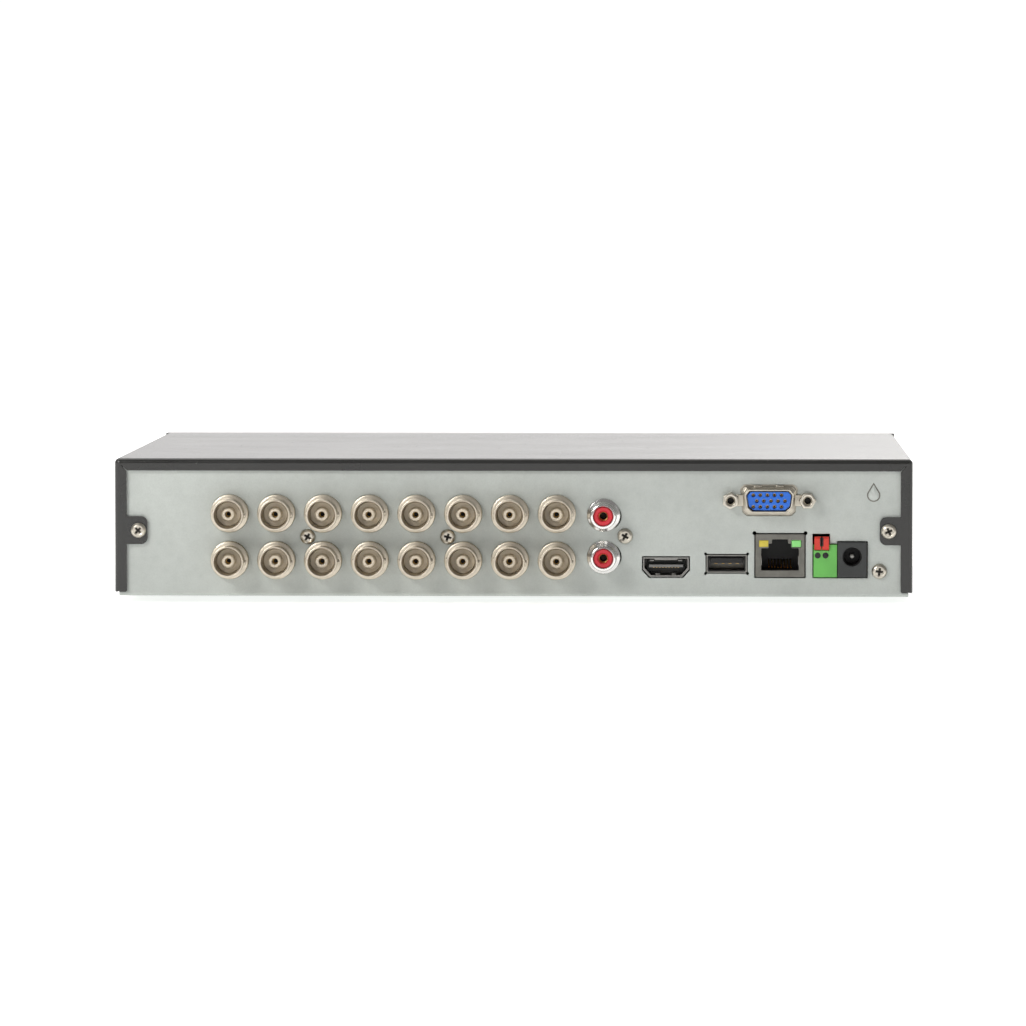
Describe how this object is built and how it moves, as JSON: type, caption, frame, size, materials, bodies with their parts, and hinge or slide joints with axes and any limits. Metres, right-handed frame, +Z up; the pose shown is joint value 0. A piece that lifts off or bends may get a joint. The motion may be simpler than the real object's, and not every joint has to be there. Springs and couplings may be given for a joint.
{
  "type": "digital video recorder",
  "caption": "Slim digital video recorder for security cameras: black cover, bare metal rear panel of camera, audio, video, network and power connectors, drive and fan inside.",
  "frame": {"origin": "centre of the footprint, on the surface that the feet stand on", "axes": "+X along the width, to the right of someone facing the bezel; +Y from the bezel to the connector panel; +Z up"},
  "size_m": [0.26, 0.225, 0.047],
  "materials": {
    "zinc_steel": "satin galvanised sheet",
    "gloss_black": "gloss black moulding",
    "smoked_window": "smoked clear window",
    "rubber": "matt",
    "black_paint": "fine-textured satin black powder paint",
    "screw_nickel": "satin nickel plate",
    "jack_nickel": "warm nickel plate on cast zinc",
    "audio_chrome": "bright plate",
    "audio_red": "red insulator",
    "socket_dark": "dark plated shell",
    "socket_steel": "tin plate",
    "terminal_green": "satin green moulding",
    "lever_red": "satin red moulding",
    "power_black": "matt dark moulding",
    "vga_blue": "blue insulator",
    "board_green": "solder resist",
    "chip_black": "chip moulding",
    "sink_aluminium": "plain extrusion",
    "cell_steel": "satin nickel steel",
    "drive_cast": "cast",
    "drive_lid": "brushed",
    "disc_mirror": "polished disc",
    "arm_aluminium": "machined",
    "fan_black": "satin moulding",
    "lead_red": "flexible jacket",
    "lead_black": "flexible jacket",
    "ribbon_grey": "flexible jacket"
  },
  "bodies": {
    "case": {"chassis_tray": "zinc_steel", "front_bezel": "gloss_black", "front_window": "smoked_window", "foot_1": "rubber", "foot_2": "rubber", "foot_3": "rubber", "foot_4": "rubber", "panel_screw_1": "screw_nickel", "panel_screw_2": "screw_nickel", "panel_screw_3": "screw_nickel", "ground_screw": "screw_nickel", "vga_jackscrew_1": "screw_nickel", "vga_jackscrew_2": "screw_nickel", "camera_jack_1": "jack_nickel", "camera_jack_2": "jack_nickel", "camera_jack_3": "jack_nickel", "camera_jack_4": "jack_nickel", "camera_jack_5": "jack_nickel", "camera_jack_6": "jack_nickel", "camera_jack_7": "jack_nickel", "camera_jack_8": "jack_nickel", "camera_jack_9": "jack_nickel", "camera_jack_10": "jack_nickel", "camera_jack_11": "jack_nickel", "camera_jack_12": "jack_nickel", "camera_jack_13": "jack_nickel", "camera_jack_14": "jack_nickel", "camera_jack_15": "jack_nickel", "camera_jack_16": "jack_nickel", "audio_jack_upper": "audio_chrome", "audio_jack_lower": "audio_chrome", "audio_insert_upper": "audio_red", "audio_insert_lower": "audio_red", "hdmi_socket": "socket_dark", "rear_usb_socket": "socket_steel", "network_socket": "socket_steel", "front_usb_socket": "socket_steel", "vga_shell": "socket_steel", "terminal_block": "terminal_green", "power_jack": "power_black", "vga_insert": "vga_blue", "main_board": "board_green", "front_board": "board_green", "processor": "chip_black", "heat_sink": "sink_aluminium", "coin_cell": "cell_steel", "drive_base": "drive_cast", "drive_lid": "drive_lid", "fan_frame": "fan_black", "drive_data_lead": "lead_red", "drive_power_lead": "lead_black", "front_ribbon": "ribbon_grey"},
    "cover": {"top_cover": "black_paint", "cover_screw_left": "screw_nickel", "cover_screw_right": "screw_nickel"},
    "terminal_lever_1": {"terminal_lever_1": "lever_red"},
    "terminal_lever_2": {"terminal_lever_2": "lever_red"},
    "fan_rotor": {"fan_rotor": "fan_black"},
    "drive_platters": {"drive_platters": "disc_mirror"},
    "drive_arm": {"drive_arm": "arm_aluminium"}
  },
  "joints": [
    {"name": "cover_slide", "type": "slide", "parent": "case", "child": "cover", "axis": [0, 1, 0], "range_m": [0, 0.21]},
    {"name": "lever_1_press", "type": "hinge", "parent": "case", "child": "terminal_lever_1", "pos_m": [-0.09915, 0.0995, 0.0177], "axis": [1, 0, 0], "range_deg": [0, 20], "stiffness_Nm_per_rad": 0.01, "springref_deg": -20.05},
    {"name": "lever_2_press", "type": "hinge", "parent": "case", "child": "terminal_lever_2", "pos_m": [-0.10169, 0.0995, 0.0177], "axis": [1, 0, 0], "range_deg": [0, 20], "stiffness_Nm_per_rad": 0.01, "springref_deg": -20.05},
    {"name": "fan_spin", "type": "hinge", "parent": "case", "child": "fan_rotor", "pos_m": [0.1217, -0.05805, 0.0233], "axis": [1, 0, 0], "continuous": true},
    {"name": "platter_spin", "type": "hinge", "parent": "case", "child": "drive_platters", "pos_m": [-0.057, -0.04475, 0.0193], "axis": [0, 0, 1], "continuous": true},
    {"name": "arm_swing", "type": "hinge", "parent": "case", "child": "drive_arm", "pos_m": [0.001, -0.01875, 0.0193], "axis": [0, 0, -1], "range_deg": [0, 28]}
  ]
}
